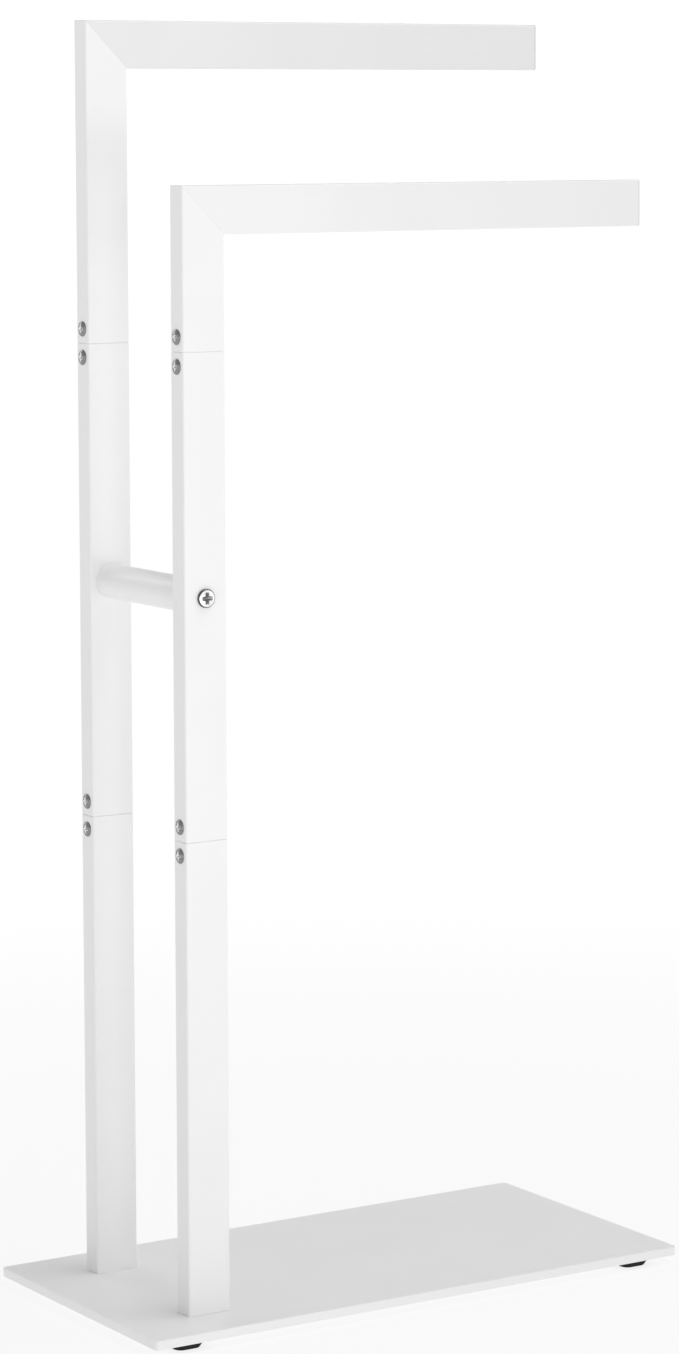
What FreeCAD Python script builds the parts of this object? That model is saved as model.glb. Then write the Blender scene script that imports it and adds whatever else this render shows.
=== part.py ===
import FreeCAD, Part
import os

# Freestanding towel rack with two bars at two heights. Millimetres, +Z up, +Y to the back.
# The origin is the centre of the base plate, at the level of the floor under the rubber feet.
# The rack comes apart into a base plate, three tube sections per post, two towel bars and a spacer.

# Base plate
PLATE_LENGTH = 400.0
PLATE_WIDTH = 200.0
PLATE_THICKNESS = 6.0
PLATE_CORNER_RADIUS = 3.0
PLATE_EDGE_RADIUS = 0.6

# Rubber feet, square with round corners and tapered, each held by one screw and washer in a recess
FOOT_HEIGHT = 5.0
FOOT_TOP_WIDTH = 23.0
FOOT_TOP_CORNER_RADIUS = 6.0
FOOT_BOTTOM_WIDTH = 17.6
FOOT_BOTTOM_CORNER_RADIUS = 5.2
FOOT_INSET_X = 28.5
FOOT_INSET_Y = 15.5
FOOT_RECESS_RADIUS = 4.8
FOOT_RECESS_DEPTH = 3.0
FOOT_EDGE_RADIUS = 0.5
FOOT_SCREW_THREAD = 4.0
FOOT_SCREW_HEAD = 7.0
FOOT_SCREW_HEAD_HEIGHT = 1.8
FOOT_SCREW_LENGTH = 6.8
FOOT_SCREW_HOLE_DEPTH = 4.5
FOOT_WASHER_DIAMETER = 9.0
FOOT_WASHER_THICKNESS = 0.8

# Rectangular tube of both posts and both bars
TUBE_WIDTH = 30.0
TUBE_DEPTH = 15.0
TUBE_WALL = 1.2
TUBE_CORNER_RADIUS = 1.5
TUBE_END_CHAMFER = 0.2
SEAM_GROOVE_WIDTH = 0.4
SEAM_GROOVE_DEPTH = 0.5
MITRE_GROOVE = 0.15

# Posts, measured from the plate's top face and from its edges
POST_INSET_X = 44.0
POST_INSET_Y = 34.0
LOWER_SEAM_HEIGHT = 301.0
UPPER_SEAM_HEIGHT = 603.0
FRONT_BAR_TOP_HEIGHT = 703.5
REAR_BAR_TOP_HEIGHT = 804.5
BAR_LENGTH = 344.5
BAR_CAP_THICKNESS = 1.5
BAR_CAP_EDGE_RADIUS = 0.7

# Sleeve inside each post seam, with one welded nut and one screw on either side of the seam
SLEEVE_CLEARANCE = 0.3
SLEEVE_WALL = 1.5
SLEEVE_LENGTH = 60.0
SLEEVE_CORNER_RADIUS = 1.0
JOINT_SCREW_OFFSET = 9.0
JOINT_SCREW_THREAD = 5.0
JOINT_SCREW_HEAD = 9.8
JOINT_SCREW_HEAD_HEIGHT = 1.7
JOINT_SCREW_RIM_HEIGHT = 0.3
JOINT_SCREW_LENGTH = 12.0
JOINT_SCREW_RECESS = 4.6
JOINT_NUT_WIDTH = 8.0
JOINT_NUT_THICKNESS = 4.0

# Round spacer tube between the posts, with a threaded insert in each end
SPACER_HEIGHT = 452.0
SPACER_DIAMETER = 22.0
SPACER_WALL = 1.5
SPACER_INSERT_LENGTH = 15.0
SPACER_SCREW_THREAD = 6.0
SPACER_SCREW_HEAD = 11.7
SPACER_SCREW_HEAD_HEIGHT = 2.3
SPACER_SCREW_RIM_HEIGHT = 1.4
SPACER_SCREW_LENGTH = 28.0
SPACER_SCREW_RECESS = 7.2

# Threaded block welded into the foot of each post, and its two countersunk screws
BLOCK_HEIGHT = 20.0
BASE_SCREW_PITCH = 14.0
BASE_SCREW_THREAD = 6.0
BASE_SCREW_HEAD = 12.0
BASE_SCREW_LENGTH = 20.0
BASE_SCREW_SOCKET = 4.0

# Gaps between parts that slide together
HOLE_CLEARANCE = 0.5
THREAD_CLEARANCE = 0.05
CAVITY_CLEARANCE = 0.1

# Recess of a cross-head screw: its arm width and depth as shares of its span, and the share that
# is left of both span and arm width at its floor
RECESS_ARM_SHARE = 0.27
RECESS_DEPTH_SHARE = 0.34
RECESS_FLOOR_SHARE = 0.5

# Chamfer at the tip of a screw, as a share of its thread diameter
SCREW_TIP_SHARE = 0.1

PLATE_TOP = FOOT_HEIGHT + PLATE_THICKNESS
POST_LEFT = POST_INSET_X - PLATE_LENGTH / 2
POST_X = POST_LEFT + TUBE_WIDTH / 2
POST_FRONT = POST_INSET_Y - PLATE_WIDTH / 2
POST_Y = POST_FRONT + TUBE_DEPTH / 2
LOWER_SEAM = PLATE_TOP + LOWER_SEAM_HEIGHT
UPPER_SEAM = PLATE_TOP + UPPER_SEAM_HEIGHT
SPACER_Z = PLATE_TOP + SPACER_HEIGHT
BAR_RIGHT = POST_LEFT + BAR_LENGTH - BAR_CAP_THICKNESS
CAVITY_WIDTH = TUBE_WIDTH - 2 * TUBE_WALL
CAVITY_DEPTH = TUBE_DEPTH - 2 * TUBE_WALL

ORIGIN = FreeCAD.Vector(0, 0, 0)
X_AXIS = FreeCAD.Vector(1, 0, 0)
Y_AXIS = FreeCAD.Vector(0, 1, 0)
Z_AXIS = FreeCAD.Vector(0, 0, 1)

# Each post by name: the Y of its centre, the direction it faces, and the top of its bar
POSTS = {
    "front": (POST_Y, -1, PLATE_TOP + FRONT_BAR_TOP_HEIGHT),
    "rear": (-POST_Y, 1, PLATE_TOP + REAR_BAR_TOP_HEIGHT),
}


def rounded_rectangle(width, depth, radius):
    """A face on the XY plane, centred on the origin, with round corners."""
    x, y = width / 2, depth / 2
    corners = [(x - radius, y - radius, 0), (-x + radius, y - radius, 90)]
    corners += [(-x + radius, -y + radius, 180), (x - radius, -y + radius, 270)]
    edges = []
    for cx, cy, start in corners:
        centre = FreeCAD.Vector(cx, cy, 0)
        edges.append(Part.makeCircle(radius, centre, Z_AXIS, start, start + 90))
    ends = [(edge.Vertexes[0].Point, edge.Vertexes[-1].Point) for edge in edges]
    loop = []
    for index, edge in enumerate(edges):
        loop.append(edge)
        loop.append(Part.makeLine(ends[index][1], ends[(index + 1) % len(edges)][0]))
    return Part.Face(Part.Wire(loop))


def rounded_bar(width, depth, length, radius):
    """A solid bar of rounded rectangular section, standing on the XY plane."""
    return rounded_rectangle(width, depth, radius).extrude(Z_AXIS * length)


def end_edges(bar, pick):
    """The edges round one end of an upright bar: pick is min for the lower end, max for the upper."""
    return pick(bar.Faces, key=lambda face: face.CenterOfMass.z).Edges


def cylinder(radius, length, base, direction):
    """A cylinder from its base centre along a direction."""
    return Part.makeCylinder(radius, length, FreeCAD.Vector(*base), direction)


def tube(length, mitred_top=False):
    """Rectangular tube standing on the XY plane. A mitred top slopes from the outer corner at -X."""
    outer = mitred_bar(length) if mitred_top else stepped_bar(length)
    outer = outer.makeChamfer(TUBE_END_CHAMFER, end_edges(outer, min))
    inner = rounded_bar(CAVITY_WIDTH, CAVITY_DEPTH, length, TUBE_CORNER_RADIUS - TUBE_WALL)
    return outer.cut(inner)


def stepped_bar(length):
    """Solid bar with a small step round its top, which leaves a fine groove at a post's seam."""
    bar = rounded_bar(TUBE_WIDTH, TUBE_DEPTH, length - SEAM_GROOVE_WIDTH, TUBE_CORNER_RADIUS)
    width, depth = TUBE_WIDTH - 2 * SEAM_GROOVE_DEPTH, TUBE_DEPTH - 2 * SEAM_GROOVE_DEPTH
    core = rounded_bar(width, depth, length, TUBE_CORNER_RADIUS - SEAM_GROOVE_DEPTH)
    return bar.fuse(core).removeSplitter()


def mitred_bar(length):
    """Solid bar with a mitred top. Its skin stops short, so a fine line shows round the corner."""
    stock = length + TUBE_WIDTH
    skin = rounded_bar(TUBE_WIDTH, TUBE_DEPTH, stock, TUBE_CORNER_RADIUS)
    skin = skin.cut(mitre_wedge(length - MITRE_GROOVE))
    width, depth = TUBE_WIDTH - 2 * MITRE_GROOVE, TUBE_DEPTH - 2 * MITRE_GROOVE
    core = rounded_bar(width, depth, stock, TUBE_CORNER_RADIUS - MITRE_GROOVE)
    core = core.cut(mitre_wedge(length))
    return skin.fuse(core).removeSplitter()


def mitre_wedge(length):
    """Wedge above a 45 degree mitre plane, which meets the tube's -X side at the given length."""
    reach = 2 * TUBE_WIDTH
    middle = length - TUBE_WIDTH / 2
    points = [(-reach, middle + reach), (reach, middle - reach), (reach, middle + reach)]
    corners = [FreeCAD.Vector(x, -TUBE_DEPTH, z) for x, z in points + points[:1]]
    return Part.Face(Part.makePolygon(corners)).extrude(Y_AXIS * 2 * TUBE_DEPTH)


def placed(shape, x, y, z):
    """The shape moved so that its own origin comes to the given point."""
    moved = shape.copy()
    moved.translate(FreeCAD.Vector(x, y, z))
    return moved


def joint_holes(y, seam):
    """Clearance holes in the post's left wall for the joint screws beside one seam."""
    radius = (JOINT_SCREW_THREAD + HOLE_CLEARANCE) / 2
    holes = []
    for side in (-1, 1):
        base = (POST_LEFT - TUBE_WALL, y, seam + side * JOINT_SCREW_OFFSET)
        holes.append(cylinder(radius, TUBE_WIDTH / 2, base, X_AXIS))
    return holes


def lower_post(y):
    """Lowest post section, from the plate to the lower seam."""
    section = placed(tube(LOWER_SEAM_HEIGHT), POST_X, y, PLATE_TOP)
    return section.cut(joint_holes(y, LOWER_SEAM))


def middle_post(y):
    """Middle post section, crossed by the spacer screw."""
    section = placed(tube(UPPER_SEAM - LOWER_SEAM), POST_X, y, LOWER_SEAM)
    radius = (SPACER_SCREW_THREAD + HOLE_CLEARANCE) / 2
    cross_hole = cylinder(radius, 2 * TUBE_DEPTH, (POST_X, y - TUBE_DEPTH, SPACER_Z), Y_AXIS)
    holes = joint_holes(y, LOWER_SEAM) + joint_holes(y, UPPER_SEAM) + [cross_hole]
    return section.cut(holes)


def upper_post(y, top):
    """Top post section, with the mitred corner that the towel bar is welded to."""
    section = placed(tube(top - UPPER_SEAM, mitred_top=True), POST_X, y, UPPER_SEAM)
    return section.cut(joint_holes(y, UPPER_SEAM))


def towel_bar(y, top):
    """Towel bar along X, mitred at the post and open at its right end."""
    bar = tube(BAR_RIGHT - POST_LEFT, mitred_top=True)
    bar.rotate(ORIGIN, Z_AXIS, 180)
    bar.rotate(ORIGIN, Y_AXIS, -90)
    return placed(bar, BAR_RIGHT, y, top - TUBE_WIDTH / 2)


def bar_end_cap(y, top):
    """Plate that closes the free end of a towel bar."""
    plate = rounded_bar(TUBE_WIDTH, TUBE_DEPTH, BAR_CAP_THICKNESS, TUBE_CORNER_RADIUS)
    plate = plate.makeFillet(BAR_CAP_EDGE_RADIUS, end_edges(plate, max))
    plate.rotate(ORIGIN, Y_AXIS, 90)
    return placed(plate, BAR_RIGHT, y, top - TUBE_WIDTH / 2)


def joint_sleeve(y, seam):
    """Short tube inside a post seam, open at both ends."""
    width = CAVITY_WIDTH - 2 * SLEEVE_CLEARANCE
    depth = CAVITY_DEPTH - 2 * SLEEVE_CLEARANCE
    outer = rounded_bar(width, depth, SLEEVE_LENGTH, SLEEVE_CORNER_RADIUS)
    inner = Part.makeBox(width - 2 * SLEEVE_WALL, depth - 2 * SLEEVE_WALL, SLEEVE_LENGTH)
    inner = placed(inner, SLEEVE_WALL - width / 2, SLEEVE_WALL - depth / 2, 0)
    sleeve = placed(outer.cut(inner), POST_X, y, seam - SLEEVE_LENGTH / 2)
    return sleeve.cut(joint_holes(y, seam))


def joint_nut(y, z):
    """Hexagonal weld nut on the inner face of a sleeve's left wall."""
    flat_to_corner = JOINT_NUT_WIDTH / 3 ** 0.5
    corners = Part.makeCircle(flat_to_corner).discretize(7)
    nut = Part.Face(Part.makePolygon(corners)).extrude(Z_AXIS * JOINT_NUT_THICKNESS)
    bore = cylinder(JOINT_SCREW_THREAD / 2, JOINT_NUT_THICKNESS, (0, 0, 0), Z_AXIS)
    nut = nut.cut(bore)
    nut.rotate(ORIGIN, Y_AXIS, 90)
    x = POST_LEFT + TUBE_WALL + SLEEVE_CLEARANCE + SLEEVE_WALL
    return placed(nut, x, y, z)


def cross_recess(span, apex):
    """Tapered cross-shaped tool, centred on Z, that cuts a screw's drive recess down from apex."""
    depth = span * RECESS_DEPTH_SHARE
    arm = span * RECESS_ARM_SHARE
    floor_span = span * RECESS_FLOOR_SHARE
    floor_arm = arm * RECESS_FLOOR_SHARE
    blades = []
    for along_x in (True, False):
        loops = []
        for length, width, z in ((span, arm, apex), (floor_span, floor_arm, apex - depth)):
            dx, dy = (length, width) if along_x else (width, length)
            corners = [(-dx, -dy), (dx, -dy), (dx, dy), (-dx, dy), (-dx, -dy)]
            points = [FreeCAD.Vector(x / 2, y / 2, z) for x, y in corners]
            loops.append(Part.makePolygon(points))
        blades.append(Part.makeLoft(loops, True, True))
    return blades[0].fuse(blades[1])


def domed_head(diameter, height, rim_height):
    """Screw head on the XY plane: a short round rim under a shallow dome."""
    radius = diameter / 2
    rise = height - rim_height
    side = Part.LineSegment(FreeCAD.Vector(radius, 0, 0), FreeCAD.Vector(radius, 0, rim_height))
    shoulder = FreeCAD.Vector(radius, 0, rim_height)
    crown = FreeCAD.Vector(0, 0, height)
    sphere_radius = (radius ** 2 + rise ** 2) / (2 * rise)
    half_angle_height = (sphere_radius ** 2 - (radius / 2) ** 2) ** 0.5
    middle = FreeCAD.Vector(radius / 2, 0, height - sphere_radius + half_angle_height)
    dome = Part.Arc(shoulder, middle, crown)
    axis = Part.LineSegment(crown, ORIGIN)
    base = Part.LineSegment(ORIGIN, FreeCAD.Vector(radius, 0, 0))
    outline = Part.Wire([part.toShape() for part in (base, side, dome, axis)])
    return Part.Face(outline).revolve(ORIGIN, Z_AXIS, 360)


def cross_head_screw(thread, length, head, head_height, rim_height, recess):
    """Screw standing head up: the head's bearing face is on the XY plane, the shank goes down."""
    shape = domed_head(head, head_height, rim_height)
    shank = cylinder(thread / 2 - THREAD_CLEARANCE, length, (0, 0, -length), Z_AXIS)
    shank = shank.makeChamfer(thread * SCREW_TIP_SHARE, end_edges(shank, min))
    return shape.fuse(shank).cut(cross_recess(recess, head_height)).removeSplitter()


def joint_screw(y, z):
    """Joint screw in the post's left face."""
    screw = cross_head_screw(
        JOINT_SCREW_THREAD,
        JOINT_SCREW_LENGTH,
        JOINT_SCREW_HEAD,
        JOINT_SCREW_HEAD_HEIGHT,
        JOINT_SCREW_RIM_HEIGHT,
        JOINT_SCREW_RECESS,
    )
    screw.rotate(ORIGIN, Y_AXIS, -90)
    return placed(screw, POST_LEFT, y, z)


def spacer_screw(y, facing):
    """Long screw through a post into the spacer's insert; facing is -1 at the front, 1 at the rear."""
    screw = cross_head_screw(
        SPACER_SCREW_THREAD,
        SPACER_SCREW_LENGTH,
        SPACER_SCREW_HEAD,
        SPACER_SCREW_HEAD_HEIGHT,
        SPACER_SCREW_RIM_HEIGHT,
        SPACER_SCREW_RECESS,
    )
    screw.rotate(ORIGIN, X_AXIS, -90 * facing)
    return placed(screw, POST_X, y + facing * TUBE_DEPTH / 2, SPACER_Z)


def spacer_tube():
    """Round tube between the inner faces of the two posts."""
    inner_face = POST_Y + TUBE_DEPTH / 2
    length = -2 * inner_face
    outer = cylinder(SPACER_DIAMETER / 2, length, (POST_X, inner_face, SPACER_Z), Y_AXIS)
    bore_radius = SPACER_DIAMETER / 2 - SPACER_WALL
    bore = cylinder(bore_radius, length, (POST_X, inner_face, SPACER_Z), Y_AXIS)
    return outer.cut(bore)


def spacer_insert(y, facing):
    """Threaded plug in one end of the spacer tube."""
    face_y = y - facing * TUBE_DEPTH / 2
    inward = Y_AXIS * -facing
    base = (POST_X, face_y, SPACER_Z)
    plug_radius = SPACER_DIAMETER / 2 - SPACER_WALL - THREAD_CLEARANCE
    plug = cylinder(plug_radius, SPACER_INSERT_LENGTH, base, inward)
    thread = cylinder(SPACER_SCREW_THREAD / 2, SPACER_INSERT_LENGTH, base, inward)
    return plug.cut(thread)


def foot_block(y):
    """Threaded steel block inside the foot of a post."""
    width = CAVITY_WIDTH - 2 * CAVITY_CLEARANCE
    depth = CAVITY_DEPTH - 2 * CAVITY_CLEARANCE
    block = Part.makeBox(width, depth, BLOCK_HEIGHT)
    block = placed(block, POST_X - width / 2, y - depth / 2, PLATE_TOP)
    for x in base_screw_places():
        hole = cylinder(BASE_SCREW_THREAD / 2, BLOCK_HEIGHT, (x, y, PLATE_TOP), Z_AXIS)
        block = block.cut(hole)
    return block


def base_screw_places():
    """The X of the two screws under each post."""
    return (POST_X - BASE_SCREW_PITCH / 2, POST_X + BASE_SCREW_PITCH / 2)


def countersunk_screw(x, y):
    """Countersunk screw with a hexagonal socket, its head flush with the plate's underside."""
    shank_radius = BASE_SCREW_THREAD / 2 - THREAD_CLEARANCE
    head_radius = BASE_SCREW_HEAD / 2
    cone_height = head_radius - shank_radius
    base = FreeCAD.Vector(x, y, FOOT_HEIGHT)
    head = Part.makeCone(head_radius, shank_radius, cone_height, base, Z_AXIS)
    shank = cylinder(shank_radius, BASE_SCREW_LENGTH, (x, y, FOOT_HEIGHT), Z_AXIS)
    corners = Part.makeCircle(BASE_SCREW_SOCKET / 3 ** 0.5, base).discretize(7)
    socket = Part.Face(Part.makePolygon(corners)).extrude(Z_AXIS * cone_height)
    return head.fuse(shank).cut(socket).removeSplitter()


def foot_places():
    """The centre of each rubber foot, by name."""
    x = PLATE_LENGTH / 2 - FOOT_INSET_X
    y = PLATE_WIDTH / 2 - FOOT_INSET_Y
    return {
        "front_left": (-x, -y),
        "front_right": (x, -y),
        "rear_left": (-x, y),
        "rear_right": (x, y),
    }


def base_plate():
    """Flat plate with countersunk holes under the posts and blind holes for the feet."""
    plate = rounded_bar(PLATE_LENGTH, PLATE_WIDTH, PLATE_THICKNESS, PLATE_CORNER_RADIUS)
    rims = end_edges(plate, min) + end_edges(plate, max)
    plate = placed(plate.makeFillet(PLATE_EDGE_RADIUS, rims), 0, 0, FOOT_HEIGHT)
    hole_radius = (BASE_SCREW_THREAD + HOLE_CLEARANCE) / 2
    sink_radius = (BASE_SCREW_HEAD + HOLE_CLEARANCE) / 2
    sink_depth = sink_radius - hole_radius
    for y, _, _ in POSTS.values():
        for x in base_screw_places():
            base = FreeCAD.Vector(x, y, FOOT_HEIGHT)
            sink = Part.makeCone(sink_radius, hole_radius, sink_depth, base, Z_AXIS)
            hole = cylinder(hole_radius, PLATE_THICKNESS, base, Z_AXIS)
            plate = plate.cut([sink, hole])
    for x, y in foot_places().values():
        base = (x, y, FOOT_HEIGHT)
        plate = plate.cut(cylinder(FOOT_SCREW_THREAD / 2, FOOT_SCREW_HOLE_DEPTH, base, Z_AXIS))
    return plate


def rubber_foot(x, y):
    """Tapered rubber foot with a recess for its washer and screw."""
    bottom = rounded_rectangle(FOOT_BOTTOM_WIDTH, FOOT_BOTTOM_WIDTH, FOOT_BOTTOM_CORNER_RADIUS)
    top = rounded_rectangle(FOOT_TOP_WIDTH, FOOT_TOP_WIDTH, FOOT_TOP_CORNER_RADIUS)
    top = placed(top, 0, 0, FOOT_HEIGHT)
    foot = Part.makeLoft([bottom.OuterWire, top.OuterWire], True, True)
    foot = foot.makeFillet(FOOT_EDGE_RADIUS, end_edges(foot, min))
    recess = cylinder(FOOT_RECESS_RADIUS, FOOT_RECESS_DEPTH, (0, 0, 0), Z_AXIS)
    hole = cylinder((FOOT_SCREW_THREAD + HOLE_CLEARANCE) / 2, FOOT_HEIGHT, (0, 0, 0), Z_AXIS)
    return placed(foot.cut([recess, hole]), x, y, 0)


def foot_washer(x, y):
    """Flat washer at the top of a foot's recess."""
    z = FOOT_RECESS_DEPTH - FOOT_WASHER_THICKNESS
    disc = cylinder(FOOT_WASHER_DIAMETER / 2, FOOT_WASHER_THICKNESS, (x, y, z), Z_AXIS)
    hole_radius = (FOOT_SCREW_THREAD + HOLE_CLEARANCE) / 2
    return disc.cut(cylinder(hole_radius, FOOT_WASHER_THICKNESS, (x, y, z), Z_AXIS))


def foot_screw(x, y):
    """Screw that holds a rubber foot, its head down in the recess."""
    screw = cross_head_screw(
        FOOT_SCREW_THREAD,
        FOOT_SCREW_LENGTH,
        FOOT_SCREW_HEAD,
        FOOT_SCREW_HEAD_HEIGHT,
        FOOT_SCREW_HEAD_HEIGHT / 2,
        FOOT_SCREW_HEAD / 2,
    )
    screw.rotate(ORIGIN, X_AXIS, 180)
    return placed(screw, x, y, FOOT_RECESS_DEPTH - FOOT_WASHER_THICKNESS)


def export(node, shapes):
    """Writes one node: a single solid, or a group of identical ones."""
    solids = [solid for shape in shapes for solid in shape.Solids]
    if len(solids) != len(shapes) or not all(solid.isValid() for solid in solids):
        raise RuntimeError(f"{node} is not {len(shapes)} sound solids")
    whole = solids[0] if len(solids) == 1 else Part.makeCompound(solids)
    whole.exportStep(f"parts/{node}.step")
    volume = sum(solid.Volume for solid in solids)
    print(f"{node}: {len(solids)} solid(s), {volume / 1000:.2f} cm3")


def export_post(name):
    """Writes every piece of one post, of its towel bar and of its seams."""
    y, facing, top = POSTS[name]
    seams = {"lower": LOWER_SEAM, "upper": UPPER_SEAM}
    export(f"{name}_lower_post", [lower_post(y)])
    export(f"{name}_middle_post", [middle_post(y)])
    export(f"{name}_upper_post", [upper_post(y, top)])
    export(f"{name}_towel_bar", [towel_bar(y, top)])
    export(f"{name}_bar_end_cap", [bar_end_cap(y, top)])
    export(f"{name}_post_foot_block", [foot_block(y)])
    export(f"{name}_spacer_insert", [spacer_insert(y, facing)])
    export(f"{name}_spacer_screw", [spacer_screw(y, facing)])
    for seam_name, seam in seams.items():
        heights = (seam - JOINT_SCREW_OFFSET, seam + JOINT_SCREW_OFFSET)
        export(f"{name}_{seam_name}_joint_sleeve", [joint_sleeve(y, seam)])
        export(f"{name}_{seam_name}_joint_nuts", [joint_nut(y, z) for z in heights])
        export(f"{name}_{seam_name}_joint_screws", [joint_screw(y, z) for z in heights])


def export_base():
    """Writes the base plate, the screws under it and the feet."""
    export("base_plate", [base_plate()])
    screws = []
    for y, _, _ in POSTS.values():
        screws += [countersunk_screw(x, y) for x in base_screw_places()]
    export("base_screws", screws)
    places = foot_places()
    for name, (x, y) in places.items():
        export(f"rubber_foot_{name}", [rubber_foot(x, y)])
    export("foot_washers", [foot_washer(x, y) for x, y in places.values()])
    export("foot_screws", [foot_screw(x, y) for x, y in places.values()])


os.makedirs("parts", exist_ok=True)
export_base()
for post_name in POSTS:
    export_post(post_name)
export("spacer_tube", [spacer_tube()])
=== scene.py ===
import math
import random

import bmesh
import bpy
from mathutils import Matrix, Vector


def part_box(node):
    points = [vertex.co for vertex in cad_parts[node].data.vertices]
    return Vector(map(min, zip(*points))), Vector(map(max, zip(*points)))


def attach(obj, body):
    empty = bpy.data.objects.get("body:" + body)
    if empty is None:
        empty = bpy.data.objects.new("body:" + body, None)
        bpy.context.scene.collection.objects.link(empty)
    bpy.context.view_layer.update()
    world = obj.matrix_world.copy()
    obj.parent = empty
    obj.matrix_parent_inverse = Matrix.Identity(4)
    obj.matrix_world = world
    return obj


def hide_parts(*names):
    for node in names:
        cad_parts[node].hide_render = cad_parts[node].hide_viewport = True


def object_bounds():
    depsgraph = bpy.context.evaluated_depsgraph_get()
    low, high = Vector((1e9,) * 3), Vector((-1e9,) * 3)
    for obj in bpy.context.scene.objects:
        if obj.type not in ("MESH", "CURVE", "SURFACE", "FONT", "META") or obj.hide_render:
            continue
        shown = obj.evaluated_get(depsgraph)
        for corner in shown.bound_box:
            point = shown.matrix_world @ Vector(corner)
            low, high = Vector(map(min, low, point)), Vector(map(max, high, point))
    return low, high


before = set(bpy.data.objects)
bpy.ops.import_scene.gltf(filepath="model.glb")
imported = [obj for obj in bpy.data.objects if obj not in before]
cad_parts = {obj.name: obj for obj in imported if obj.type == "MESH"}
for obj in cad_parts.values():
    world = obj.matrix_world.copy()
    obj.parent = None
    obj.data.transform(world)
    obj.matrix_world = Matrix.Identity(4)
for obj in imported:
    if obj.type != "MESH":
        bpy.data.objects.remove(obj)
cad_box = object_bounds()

# The looks of a freestanding towel rack, in metres, +Z up: a white powder-coated frame, plated
# screws and black rubber feet, on a pale studio floor.
MM = 0.001

# Camera, fitted to the corners of the plate, the posts and the bars. It stands to the left of the
# rack's front, above its middle, and looks down a little.
CAMERA_PLACE = (-1.4468, -2.2557, 0.7603)
CAMERA_YAW = math.radians(32.653)
CAMERA_PITCH = math.radians(7.735)
CAMERA_ROLL = math.radians(-0.104)
CAMERA_LENS = 111.24
CAMERA_SENSOR = 36.0

# Studio: brightness is radiance, and 1 shows as white
FLOOR_RADIUS = 14.0
FLOOR_SEGMENTS = 96
FLOOR_ALBEDO = 0.9
FLOOR_GLOW_NEAR = 0.8
FLOOR_GLOW_START = 0.3
FLOOR_GLOW_END = 1.6
FLOOR_GLOW = 1.005
BACKDROP_WHITE = 1.05
CEILING_BRIGHTNESS = 0.42
HORIZON_TOP = 0.12
CEILING_START = 0.35

# Softboxes: azimuth and elevation round the rack in degrees, with 0 in front and 90 to the right;
# then distance, width, height and brightness, and for some the beam's angle and the X it aims at
SOFTBOXES = {
    "front_low_softbox": (8, -7, 1.6, 0.7, 0.3, 3.7),
    "post_strip": (-10, 0, 1.7, 0.25, 1.4, 0.19, 24, -0.2),
    "rear_softbox": (190, 25, 3.4, 1.6, 1.4, 2.5),
    "top_softbox": (40, 72, 4.0, 2.2, 2.2, 2.7),
    "top_right_softbox": (80, 66, 1.9, 1.0, 1.0, 1.6),
}

# Powder coat: tone of the frame, and of the two towel bars, which are painted darker as painted
# shade; and how far clouds change them
FRAME_TONE = 0.86
FRONT_BAR_SHADED_TONE = 0.845
REAR_BAR_SHADED_TONE = 0.785
COAT_CLOUDS = 0.008

# Screw metal: how far its clouds change its tone, and how far its turning stretches highlights
METAL_MOTTLE = 0.16
TURNED_STRETCH = 0.9

# Cross-head screws. The face falls from its middle to the shoulder by the angle named here.
JOINT_SCREW = {
    "head": 9.8 * MM,
    "height": 1.7 * MM,
    "face_angle": math.radians(31),
    "shoulder": 0.3 * MM,
    "recess": 4.6 * MM,
    "arm": 1.3 * MM,
    "thread": 5.0 * MM,
    "length": 12.0 * MM,
    "pitch": 0.8 * MM,
    # The polish shares set roughness and tone; the tone is painted light, dark for painted shade
    # and light for painted highlight. Here the recess is a painted highlight.
    "face_polish_and_painted_light": 0.0,
    "recess_polish_and_painted_light": 1.0,
}
SPACER_SCREW = {
    "head": 11.7 * MM,
    "height": 2.3 * MM,
    "face_angle": math.radians(5),
    "shoulder": 0.8 * MM,
    "recess": 7.2 * MM,
    "arm": 2.3 * MM,
    "thread": 6.0 * MM,
    "length": 28.0 * MM,
    "pitch": 1.0 * MM,
    # Here the recess is darkened as painted shade; the sides and shoulder are always painted dark,
    # painted shade.
    "face_polish_and_painted_light": 1.0,
    "recess_polish_and_painted_light": 0.3,
}
RECESS_DEPTH_SHARE = 0.34
RECESS_FLOOR_SHARE = 0.5
RECESS_POINT_SHARE = 0.1
RECESS_INNER_CORNER = 0.45
RECESS_TIP_CORNER = 0.35
RECESS_LIP = 0.12 * MM
HEAD_EDGE = 0.08 * MM
TIP_STEPS = 3
SIDE_STEPS = 3
INNER_STEPS = 4
FACE_STEPS = 6
SHOULDER_STEPS = 6
THREAD_SEGMENTS = 24
THREAD_RINGS_PER_TURN = 6
THREAD_DEPTH_SHARE = 0.55
THREAD_CLEARANCE = 0.05 * MM
THREAD_ROOT = 0.3 * MM
THREAD_TIP = 1.2 * MM
TURNING_PITCH = 0.05 * MM
SMOOTH_ANGLE = math.radians(38)
SCREW_TURN = math.radians(8)
SCREW_SEED = 5


def noise(tree, size, detail=2.0):
    """Noise over the row frame, with features of about the given size."""
    coordinates = tree.nodes.new("ShaderNodeTexCoord")
    texture = tree.nodes.new("ShaderNodeTexNoise")
    texture.inputs["Scale"].default_value = 1 / size
    texture.inputs["Detail"].default_value = detail
    tree.links.new(coordinates.outputs["Object"], texture.inputs["Vector"])
    return texture.outputs["Fac"]


def spread(tree, value, low, high):
    """A noise value mapped to a span of numbers."""
    mapped = tree.nodes.new("ShaderNodeMapRange")
    mapped.inputs["From Min"].default_value = 0.3
    mapped.inputs["From Max"].default_value = 0.7
    mapped.inputs["To Min"].default_value = low
    mapped.inputs["To Max"].default_value = high
    tree.links.new(value, mapped.inputs["Value"])
    return mapped.outputs["Result"]


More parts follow.
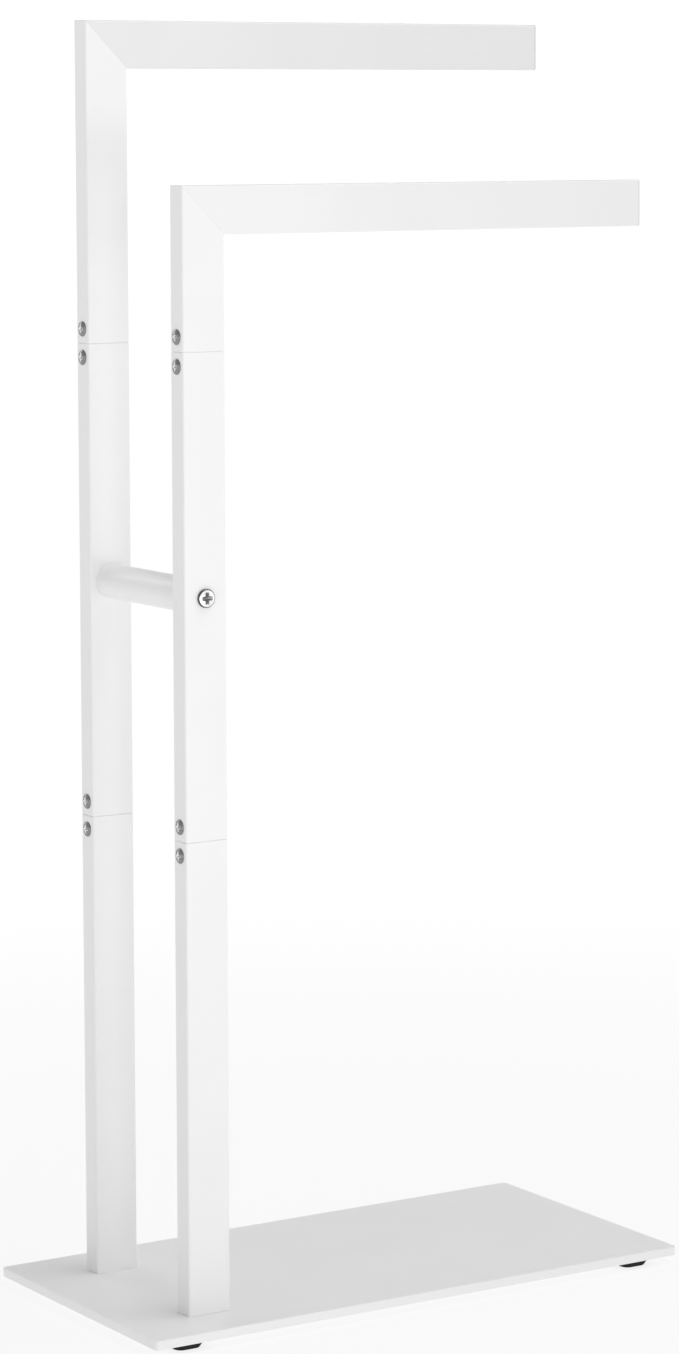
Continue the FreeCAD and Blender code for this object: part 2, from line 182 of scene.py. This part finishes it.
def colours(tree, value, first, second):
    """A noise value mapped to a span between two colours."""
    ramp = tree.nodes.new("ShaderNodeValToRGB")
    ramp.color_ramp.elements[0].position = 0.3
    ramp.color_ramp.elements[0].color = (*first, 1)
    ramp.color_ramp.elements[1].position = 0.7
    ramp.color_ramp.elements[1].color = (*second, 1)
    tree.links.new(value, ramp.inputs["Fac"])
    return ramp.outputs["Color"]


def bumps(tree, layers):
    """A normal from several layers of noise, each with its height."""
    normal = None
    for value, height in layers:
        bump = tree.nodes.new("ShaderNodeBump")
        bump.inputs["Distance"].default_value = height
        tree.links.new(value, bump.inputs["Height"])
        if normal:
            tree.links.new(normal, bump.inputs["Normal"])
        normal = bump.outputs["Normal"]
    return normal


def material(name, build):
    """A node material: build gets its tree and its Principled shader."""
    made = bpy.data.materials.new(name)
    made.use_nodes = True
    build(made.node_tree, made.node_tree.nodes["Principled BSDF"])
    return made


def powder_coat(tree, shader, tone):
    """Satin white powder coat: orange peel, a fine grain, and cloudy changes of tone and gloss."""
    clouds = noise(tree, 60 * MM)
    peel = noise(tree, 1.6 * MM, 1.0)
    grain = noise(tree, 0.35 * MM, 0.0)
    low, high = tone - COAT_CLOUDS, tone + COAT_CLOUDS
    mixed = colours(tree, clouds, (low, low, low), (high, high, high))
    tree.links.new(mixed, shader.inputs["Base Color"])
    tree.links.new(spread(tree, peel, 0.32, 0.40), shader.inputs["Roughness"])
    normal = bumps(tree, [(peel, 0.015 * MM), (grain, 0.003 * MM)])
    tree.links.new(normal, shader.inputs["Normal"])


def frame_coat(tree, shader):
    """The coat of the plate, the posts and the spacer."""
    powder_coat(tree, shader, FRAME_TONE)


def front_bar_shaded_coat(tree, shader):
    """The coat of the front towel bar, painted a little darker than its post as painted shade."""
    powder_coat(tree, shader, FRONT_BAR_SHADED_TONE)


def rear_bar_shaded_coat(tree, shader):
    """The coat of the rear towel bar, painted darker than its post as painted shade."""
    powder_coat(tree, shader, REAR_BAR_SHADED_TONE)


def attribute(tree, name):
    """A number that the mesh holds at each of its points."""
    read = tree.nodes.new("ShaderNodeAttribute")
    read.attribute_name = name
    return read.outputs["Fac"]


def blend(tree, share, low, high):
    """A mix of two values, by the share of the second."""
    mixed = tree.nodes.new("ShaderNodeMix")
    tree.links.new(share, mixed.inputs["Factor"])
    tree.links.new(low, mixed.inputs[2])
    tree.links.new(high, mixed.inputs[3])
    return mixed.outputs[0]


def turned_metal(tree, shader, dull_tone_and_painted_shade, bright_tone_and_painted_highlight, dull_gloss):
    """Plated metal, glossier where its polish share is high; that share also mixes a dark tone of
    painted shade with a light tone of painted highlight. Its turning rings draw highlights
    outward.
    """
    mottle = noise(tree, 1.3 * MM)
    grain = noise(tree, 0.25 * MM, 1.0)
    polish_and_painted_light = attribute(tree, "polish_and_painted_light")
    ring = tree.nodes.new("ShaderNodeMath")
    ring.operation = "SINE"
    tree.links.new(attribute(tree, "turned_radius"), ring.inputs[0])
    tone = tree.nodes.new("ShaderNodeMix")
    tone.data_type = "RGBA"
    tree.links.new(polish_and_painted_light, tone.inputs["Factor"])
    for tint, socket in ((dull_tone_and_painted_shade, tone.inputs[6]), (bright_tone_and_painted_highlight, tone.inputs[7])):
        dark, light = tint * (1 - METAL_MOTTLE), tint * (1 + METAL_MOTTLE)
        tree.links.new(colours(tree, mottle, (dark, dark, dark), (light, light, light)), socket)
    tree.links.new(tone.outputs[2], shader.inputs["Base Color"])
    dull_roughness = spread(tree, grain, dull_gloss, dull_gloss + 0.1)
    roughness = blend(tree, polish_and_painted_light, dull_roughness, spread(tree, grain, 0.12, 0.2))
    tree.links.new(roughness, shader.inputs["Roughness"])
    outward = tree.nodes.new("ShaderNodeAttribute")
    outward.attribute_name = "outward"
    tree.links.new(outward.outputs["Vector"], shader.inputs["Tangent"])
    shader.inputs["Anisotropic"].default_value = TURNED_STRETCH
    shader.inputs["Metallic"].default_value = 1.0
    normal = bumps(tree, [(ring.outputs["Value"], 0.0015 * MM), (grain, 0.003 * MM)])
    tree.links.new(normal, shader.inputs["Normal"])


def bright_screw(tree, shader):
    """Bright nickel plate on a polished face; the edge, side and recess are painted dark, painted
    shade.
    """
    turned_metal(tree, shader, 0.14, 0.88, 0.26)


def grey_screw(tree, shader):
    """Satin grey zinc flake coat; the recess is painted light, a painted highlight."""
    turned_metal(tree, shader, 0.3, 0.75, 0.4)


def plain_steel(tree, shader):
    """Zinc-plated steel, duller than the screws, with a cool spangle."""
    spangle = noise(tree, 5 * MM)
    grain = noise(tree, 0.4 * MM, 1.0)
    tone = colours(tree, spangle, (0.42, 0.43, 0.45), (0.56, 0.57, 0.58))
    tree.links.new(tone, shader.inputs["Base Color"])
    tree.links.new(spread(tree, grain, 0.36, 0.52), shader.inputs["Roughness"])
    tree.links.new(bumps(tree, [(grain, 0.008 * MM)]), shader.inputs["Normal"])
    shader.inputs["Metallic"].default_value = 1.0


def black_rubber(tree, shader):
    """Moulded black rubber: matt, with a fine spark-eroded grain."""
    bloom = noise(tree, 6 * MM)
    grain = noise(tree, 0.5 * MM, 2.0)
    tone = colours(tree, bloom, (0.006, 0.006, 0.006), (0.012, 0.012, 0.012))
    tree.links.new(tone, shader.inputs["Base Color"])
    tree.links.new(spread(tree, grain, 0.62, 0.8), shader.inputs["Roughness"])
    tree.links.new(bumps(tree, [(grain, 0.03 * MM)]), shader.inputs["Normal"])
    shader.inputs["Specular IOR Level"].default_value = 0.2


def floor_finish(tree, shader):
    """Matt pale floor that glows more with distance, so that it meets the backdrop unseen."""
    output = next(node for node in tree.nodes if node.type == "OUTPUT_MATERIAL")
    tree.nodes.remove(shader)
    coordinates = tree.nodes.new("ShaderNodeTexCoord")
    distance = tree.nodes.new("ShaderNodeVectorMath")
    distance.operation = "LENGTH"
    share = tree.nodes.new("ShaderNodeMapRange")
    share.interpolation_type = "SMOOTHERSTEP"
    share.inputs["From Min"].default_value = FLOOR_GLOW_START
    share.inputs["From Max"].default_value = FLOOR_GLOW_END
    share.inputs["To Min"].default_value = FLOOR_GLOW_NEAR
    share.inputs["To Max"].default_value = 1.0
    matt = tree.nodes.new("ShaderNodeBsdfDiffuse")
    matt.inputs["Color"].default_value = (FLOOR_ALBEDO, FLOOR_ALBEDO, FLOOR_ALBEDO, 1)
    glow = tree.nodes.new("ShaderNodeEmission")
    glow.inputs["Strength"].default_value = FLOOR_GLOW
    mixed = tree.nodes.new("ShaderNodeMixShader")
    tree.links.new(coordinates.outputs["Object"], distance.inputs[0])
    tree.links.new(distance.outputs["Value"], share.inputs["Value"])
    tree.links.new(share.outputs["Result"], mixed.inputs["Fac"])
    tree.links.new(matt.outputs["BSDF"], mixed.inputs[1])
    tree.links.new(glow.outputs["Emission"], mixed.inputs[2])
    tree.links.new(mixed.outputs["Shader"], output.inputs["Surface"])


def make_floor():
    """Round floor under the rack."""
    mesh = bpy.data.meshes.new("floor")
    points = [(0, 0, 0)]
    for step in range(FLOOR_SEGMENTS):
        angle = 2 * math.pi * step / FLOOR_SEGMENTS
        points.append((FLOOR_RADIUS * math.cos(angle), FLOOR_RADIUS * math.sin(angle), 0))
    faces = []
    for step in range(FLOOR_SEGMENTS):
        faces.append((0, 1 + step, 1 + (step + 1) % FLOOR_SEGMENTS))
    mesh.from_pydata(points, [], faces)
    floor = bpy.data.objects.new("floor", mesh)
    mesh.materials.append(material("floor_finish", floor_finish))
    bpy.context.scene.collection.objects.link(floor)


def make_world():
    """White all round up to just above the horizon, and a darker ceiling."""
    world = bpy.data.worlds.new("studio")
    world.use_nodes = True
    tree = world.node_tree
    background = tree.nodes["Background"]
    coordinates = tree.nodes.new("ShaderNodeTexCoord")
    parts = tree.nodes.new("ShaderNodeSeparateXYZ")
    level = tree.nodes.new("ShaderNodeMapRange")
    level.interpolation_type = "SMOOTHSTEP"
    level.inputs["From Min"].default_value = HORIZON_TOP
    level.inputs["From Max"].default_value = CEILING_START
    level.inputs["To Min"].default_value = BACKDROP_WHITE
    level.inputs["To Max"].default_value = CEILING_BRIGHTNESS
    tree.links.new(coordinates.outputs["Generated"], parts.inputs["Vector"])
    tree.links.new(parts.outputs["Z"], level.inputs["Value"])
    tree.links.new(level.outputs["Result"], background.inputs["Strength"])
    background.inputs["Color"].default_value = (1, 1, 1, 1)
    bpy.context.scene.world = world


def make_softbox(name, azimuth, elevation, distance, width, height, brightness, beam=180, aim_x=0):
    """A rectangular area light that faces the rack, half way up. A beam under 180 is narrowed."""
    a, e = math.radians(azimuth), math.radians(elevation)
    centre = (cad_box[0] + cad_box[1]) / 2 + Vector((aim_x, 0, 0))
    back = Vector((math.sin(a) * math.cos(e), -math.cos(a) * math.cos(e), math.sin(e)))
    light = bpy.data.lights.new(name, "AREA")
    light.shape = "RECTANGLE"
    light.size = width
    light.size_y = height
    light.spread = math.radians(beam)
    light.energy = brightness * math.pi * width * height
    lamp = bpy.data.objects.new(name, light)
    lamp.location = centre + back * distance
    lamp.rotation_mode = "QUATERNION"
    lamp.rotation_quaternion = back.to_track_quat("Z", "Y")
    lamp.visible_camera = False
    bpy.context.scene.collection.objects.link(lamp)


def make_camera():
    """The camera at the fitted place and direction."""
    data = bpy.data.cameras.new("camera")
    data.lens = CAMERA_LENS
    data.sensor_width = CAMERA_SENSOR
    camera = bpy.data.objects.new("camera", data)
    turn = Matrix.Rotation(-CAMERA_YAW, 4, "Z")
    tilt = Matrix.Rotation(math.pi / 2 - CAMERA_PITCH, 4, "X")
    roll = Matrix.Rotation(CAMERA_ROLL, 4, "Z")
    camera.matrix_world = Matrix.Translation(CAMERA_PLACE) @ turn @ tilt @ roll
    bpy.context.scene.collection.objects.link(camera)
    bpy.context.scene.camera = camera


def arc(centre, radius, start, stop, steps):
    """Points along an arc, its ends included; the angles are in degrees."""
    points = []
    for step in range(steps + 1):
        angle = math.radians(start + (stop - start) * step / steps)
        points.append((centre[0] + radius * math.cos(angle), centre[1] + radius * math.sin(angle)))
    return points


def between(first, last, steps):
    """Evenly spaced points between two points, which are left out."""
    shares = [step / steps for step in range(1, steps)]
    return [tuple(a + (b - a) * share for a, b in zip(first, last)) for share in shares]


def cross_outline(span, arm):
    """A cross with round inner corners and softened tips, as points in order of their angle."""
    tip_x, side = span / 2, arm / 2
    inner = side * RECESS_INNER_CORNER
    tip = side * RECESS_TIP_CORNER
    quarter = [(tip_x, 0.0)] + arc((tip_x - tip, side - tip), tip, 0, 90, TIP_STEPS)
    corner = arc((side + inner, side + inner), inner, 270, 180, INNER_STEPS)
    quarter += between(quarter[-1], corner[0], SIDE_STEPS) + corner
    last_tip = arc((side - tip, tip_x - tip), tip, 0, 90, TIP_STEPS)
    quarter += between(corner[-1], last_tip[0], SIDE_STEPS) + last_tip
    outline = []
    for x, y in quarter:
        outline.append((x, y))
    for turn in range(1, 4):
        c, s = round(math.cos(math.pi * turn / 2)), round(math.sin(math.pi * turn / 2))
        outline += [(x * c - y * s, x * s + y * c) for x, y in quarter]
    return outline


def face_shape(screw):
    """The head's face: radius of its edge, and a function from radius to height."""
    radius = screw["head"] / 2 - screw["shoulder"] * (1 - math.sin(screw["face_angle"]))
    sphere = radius / math.sin(screw["face_angle"])

    def height(r):
        return screw["height"] - sphere + math.sqrt(sphere ** 2 - r ** 2)

    return radius, height


def recess_rings(screw, height):
    """Rings from the floor of the drive recess up to its lip on the head's face."""
    span, arm = screw["recess"], screw["arm"]
    depth = span * RECESS_DEPTH_SHARE
    levels = [(RECESS_FLOOR_SHARE, 1.0), (1.0, RECESS_LIP / depth)]
    rings = []
    for share, down in levels:
        outline = cross_outline(span * share, arm * share)
        rings.append([(x, y, height(math.hypot(x, y)) - depth * down) for x, y in outline])
    lip = cross_outline(span + 2 * RECESS_LIP, arm + 2 * RECESS_LIP)
    rings.append([(x, y, height(math.hypot(x, y))) for x, y in lip])
    return rings


def face_rings(lip, radius, height):
    """Rings from the recess's lip out to the round edge of the face."""
    rings = []
    for step in range(1, FACE_STEPS + 1):
        share = step / FACE_STEPS
        ring = []
        for index, (x, y, _) in enumerate(lip):
            even = 2 * math.pi * index / len(lip)
            angle = math.atan2(y, x) % (2 * math.pi)
            angle += (even - angle) * share
            r = math.hypot(x, y) * (1 - share) + radius * share
            ring.append((r * math.cos(angle), r * math.sin(angle), height(r)))
        rings.append(ring)
    return rings


def round_ring(radius, z, count):
    """A ring of evenly spaced points."""
    angles = [2 * math.pi * index / count for index in range(count)]
    return [(radius * math.cos(angle), radius * math.sin(angle), z) for angle in angles]


def head_rings(screw):
    """All rings of a screw's head from its recess to its underside, and how polished each is; the
    polish share also picks the painted shade and painted highlight of the tone.
    """
    radius, height = face_shape(screw)
    rings = recess_rings(screw, height)
    polish_and_painted_light = [screw["recess_polish_and_painted_light"]] * len(rings)
    rings += face_rings(rings[-1], radius, height)
    polish_and_painted_light += [screw["face_polish_and_painted_light"]] * FACE_STEPS
    count = len(rings[0])
    shoulder, start = screw["shoulder"], screw["face_angle"]
    centre_r = screw["head"] / 2 - shoulder
    centre_z = height(radius) - shoulder * math.cos(start)
    for step in range(1, SHOULDER_STEPS + 1):
        angle = start + (math.pi / 2 - start) * step / SHOULDER_STEPS
        r = centre_r + shoulder * math.sin(angle)
        rings.append(round_ring(r, centre_z + shoulder * math.cos(angle), count))
    rings.append(round_ring(screw["head"] / 2, HEAD_EDGE, count))
    rings.append(round_ring(screw["head"] / 2 - HEAD_EDGE, 0, count))
    rings.append(round_ring(screw["thread"] / 4, 0, count))
    polish_and_painted_light += [0.0] * (len(rings) - len(polish_and_painted_light))
    return rings, polish_and_painted_light


def thread_rings(screw):
    """Rings down a threaded shank, from inside the head to a tapered tip."""
    outer = screw["thread"] / 2 - THREAD_CLEARANCE
    depth = screw["pitch"] * THREAD_DEPTH_SHARE
    turns = (screw["length"] + THREAD_ROOT) / screw["pitch"]
    count = round(turns * THREAD_RINGS_PER_TURN)
    rings = []
    for step in range(count + 1):
        z = THREAD_ROOT - (screw["length"] + THREAD_ROOT) * step / count
        taper = max(0, THREAD_TIP - (z + screw["length"])) * math.tan(math.radians(30))
        ring = []
        for index in range(THREAD_SEGMENTS):
            angle = 2 * math.pi * index / THREAD_SEGMENTS
            phase = (z / screw["pitch"] - index / THREAD_SEGMENTS) % 1
            r = min(outer - depth * abs(2 * phase - 1), outer - taper)
            ring.append((r * math.cos(angle), r * math.sin(angle), z))
        rings.append(ring)
    return rings


def add_shell(build, rings, polish_and_painted_light, matrix, first_centre, last_centre):
    """Adds a closed shell of rings, with a fan of faces to a point at each end."""
    radius_layer = build.verts.layers.float["turned_radius"]
    polish_and_painted_light_layer = build.verts.layers.float["polish_and_painted_light"]
    outward_layer = build.verts.layers.float_vector["outward"]
    rotation = matrix.to_3x3()

    def vertex(point, shine):
        made = build.verts.new(matrix @ Vector(point))
        made[radius_layer] = math.hypot(point[0], point[1]) / TURNING_PITCH
        made[polish_and_painted_light_layer] = shine
        made[outward_layer] = rotation @ Vector((point[0], point[1], 0)).normalized()
        return made

    loops = [[vertex(point, shine) for point in ring] for ring, shine in zip(rings, polish_and_painted_light)]
    for upper, lower in zip(loops, loops[1:]):
        for index in range(len(upper)):
            after = (index + 1) % len(upper)
            build.faces.new((upper[index], lower[index], lower[after], upper[after]))
    ends = ((loops[0], first_centre, polish_and_painted_light[0]), (loops[-1], last_centre, polish_and_painted_light[-1]))
    for loop, centre, shine in ends:
        middle = vertex(centre, shine)
        for index in range(len(loop)):
            build.faces.new((middle, loop[index], loop[(index + 1) % len(loop)]))


def add_screw(build, screw, place, facing, turn):
    """Adds one screw: place is the middle of its bearing face, facing the way its head looks."""
    rotation = facing.to_track_quat("Z", "Y").to_matrix().to_4x4()
    matrix = Matrix.Translation(place) @ rotation @ Matrix.Rotation(turn, 4, "Z")
    depth = screw["recess"] * (RECESS_DEPTH_SHARE + RECESS_POINT_SHARE)
    head, polish_and_painted_light = head_rings(screw)
    add_shell(build, head, polish_and_painted_light, matrix, (0, 0, screw["height"] - depth), (0, 0, 0))
    shank = thread_rings(screw)
    dull_tone_and_painted_shade = [0.0] * len(shank)
    add_shell(build, shank, dull_tone_and_painted_shade, matrix, (0, 0, THREAD_ROOT), (0, 0, -screw["length"]))


def screw_piece(node, finish, screws):
    """The screws of one CAD node as one piece."""
    build = bmesh.new()
    for layer in ("turned_radius", "polish_and_painted_light"):
        build.verts.layers.float.new(layer)
    build.verts.layers.float_vector.new("outward")
    for settings in screws:
        add_screw(build, *settings)
    bmesh.ops.recalc_face_normals(build, faces=build.faces)
    mesh = bpy.data.meshes.new(node + "_detailed")
    build.to_mesh(mesh)
    build.free()
    mesh.shade_smooth()
    mesh.set_sharp_from_angle(angle=SMOOTH_ANGLE)
    mesh.materials.append(finish)
    piece = bpy.data.objects.new(node + "_detailed", mesh)
    bpy.context.scene.collection.objects.link(piece)
    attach(piece, "root")
    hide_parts(node)


def make_joint_screws(finish):
    """The screws of every post seam, their crosses nearly upright."""
    angles = random.Random(SCREW_SEED)
    facing = Vector((-1, 0, 0))
    for name in ("front", "rear"):
        face_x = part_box(name + "_middle_post")[0].x
        for seam in ("lower", "upper"):
            node = f"{name}_{seam}_joint_screws"
            low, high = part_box(node)
            reach = JOINT_SCREW["head"] / 2
            screws = []
            for z in (low.z + reach, high.z - reach):
                place = Vector((face_x, (low.y + high.y) / 2, z))
                turn = angles.uniform(-SCREW_TURN, SCREW_TURN)
                screws.append((JOINT_SCREW, place, facing, turn))
            screw_piece(node, finish, screws)


def make_spacer_screws(finish):
    """The two long screws that hold the spacer, with upright crosses."""
    for name, direction in (("front", -1), ("rear", 1)):
        node = name + "_spacer_screw"
        middle = sum(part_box(node), Vector()) / 2
        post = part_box(name + "_middle_post")
        face_y = post[0].y if direction < 0 else post[1].y
        place = Vector((middle.x, face_y, middle.z))
        screw = (SPACER_SCREW, place, Vector((0, direction, 0)), 0.0)
        screw_piece(node, finish, [screw])


def make_finishes():
    """One material for each of the record's slots, and one with painted shade for each towel bar.
    """
    return {
        "white_powder_coat": material("white_powder_coat_finish", frame_coat),
        "front_bar_shaded_coat": material("front_bar_shaded_coat_finish", front_bar_shaded_coat),
        "rear_bar_shaded_coat": material("rear_bar_shaded_coat_finish", rear_bar_shaded_coat),
        "bright_screw": material("bright_screw_finish", bright_screw),
        "grey_screw": material("grey_screw_finish", grey_screw),
        "plain_steel": material("plain_steel_finish", plain_steel),
        "black_rubber": material("black_rubber_finish", black_rubber),
    }


def paint_nodes(finishes):
    """Gives every CAD node the finish of its material slot; the towel bars have their own, darker
    with painted shade.
    """
    bars = {
        "front_towel_bar": "front_bar_shaded_coat",
        "front_bar_end_cap": "front_bar_shaded_coat",
        "rear_towel_bar": "rear_bar_shaded_coat",
        "rear_bar_end_cap": "rear_bar_shaded_coat",
    }
    for name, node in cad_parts.items():
        for slot in node.material_slots:
            slot.material = finishes[bars.get(name, slot.material.name)]


bpy.context.scene.view_settings.view_transform = "Standard"
finishes = make_finishes()
paint_nodes(finishes)
make_joint_screws(finishes["grey_screw"])
make_spacer_screws(finishes["bright_screw"])
make_floor()
make_world()
for name, settings in SOFTBOXES.items():
    make_softbox(name, *settings)
make_camera()
